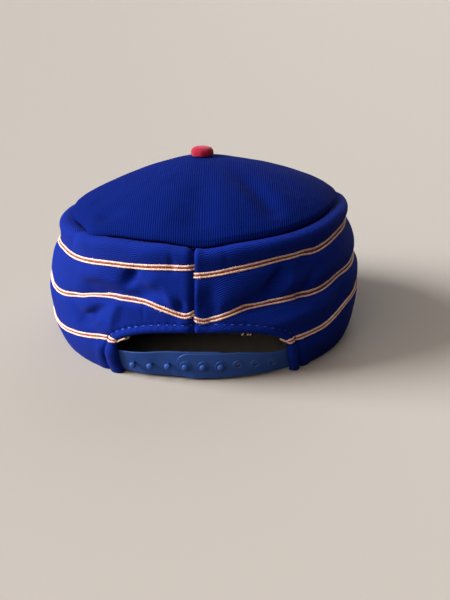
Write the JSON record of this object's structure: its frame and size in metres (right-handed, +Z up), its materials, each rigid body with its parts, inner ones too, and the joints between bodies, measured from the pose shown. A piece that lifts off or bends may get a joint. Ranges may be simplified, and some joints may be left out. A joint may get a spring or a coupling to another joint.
{
  "type": "pillbox cap",
  "caption": "Soft cloth pillbox cap with a domed top, cord trim round its band, a covered button, a visor and a snap strap that sets its size at the back.",
  "frame": {"origin": "under the middle of the cap's length and width, on the surface that its rim rests on", "axes": "+Z up through the button, +Y to the back with the strap, -Y to the tip of the visor, +X to the wearer's left"},
  "size_m": [0.1934, 0.2576, 0.1102],
  "materials": {
    "crown_cloth": "matt ribbed twill",
    "button_cloth": "satin cloth",
    "trim_cord": "cord with a dark centre line",
    "sweatband_cloth": "matt cotton",
    "strap_plastic": "smooth, slightly translucent"
  },
  "bodies": {
    "root": {"crown_top": "crown_cloth", "side_left": "crown_cloth", "side_right": "crown_cloth", "visor": "crown_cloth", "button": "button_cloth", "sweatband": "sweatband_cloth", "strap_pegs": "strap_plastic", "strap_holes": "strap_plastic", "stripe_top_left": "trim_cord", "stripe_top_right": "trim_cord", "stripe_middle_left": "trim_cord", "stripe_middle_right": "trim_cord", "stripe_low_left": "trim_cord", "stripe_low_right": "trim_cord"}
  },
  "joints": []
}
